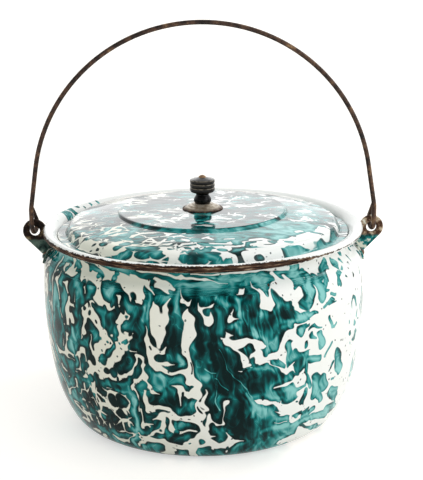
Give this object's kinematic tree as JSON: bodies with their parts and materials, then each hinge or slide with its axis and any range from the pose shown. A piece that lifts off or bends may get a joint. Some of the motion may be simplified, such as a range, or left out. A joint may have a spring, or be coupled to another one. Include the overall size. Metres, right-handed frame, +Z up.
{
  "type": "covered bail kettle",
  "caption": "Round-bellied enamelled steel kettle with a flared rolled rim, a recessed domed lid with a turned knob, and a wire bail that swings in riveted ears.",
  "frame": {"origin": "centre of the base on the ground", "axes": "+Z up along the axis of the pot, X through the two ears, -Y towards the camera of the picture"},
  "size_m": [0.318, 0.283, 0.349],
  "materials": {
    "swirl_enamel": "gloss vitreous enamel, emerald swirl on white, white inside",
    "bright_wire": "plain drawn wire, hidden in the rolled rim",
    "enamelled_iron": "worn enamel over dark rusted iron",
    "enamelled_rivet": "gloss enamel over steel",
    "rusted_wire": "brown rusted drawn wire, rubbed bright in places",
    "lid_enamel": "gloss vitreous enamel, emerald swirl on white, white underneath",
    "black_wood": "gloss black lacquer on turned wood",
    "tinned_sheet": "dull tinned sheet with rust at the edge",
    "rusted_bolt": "rusted steel"
  },
  "bodies": {
    "pot": {"pot_body": "swirl_enamel", "rim_wire": "bright_wire", "left_ear": "enamelled_iron", "right_ear": "enamelled_iron", "left_ear_rivets": "enamelled_rivet", "right_ear_rivets": "enamelled_rivet"},
    "lid_group": {"lid": "lid_enamel", "lid_knob": "black_wood", "knob_skirt": "tinned_sheet", "knob_bolt": "rusted_bolt", "lid_washer": "rusted_bolt", "knob_nut": "rusted_bolt"},
    "bail_group": {"bail": "rusted_wire"}
  },
  "joints": [
    {"name": "bail_swing", "type": "hinge", "parent": "pot", "child": "bail_group", "pos_m": [0, 0, 0.17445], "axis": [1, 0, 0], "range_deg": [-120, 120]},
    {"name": "lid_lift", "type": "slide", "parent": "pot", "child": "lid_group", "axis": [0, 0, 1], "range_m": [0, 0.07]}
  ]
}
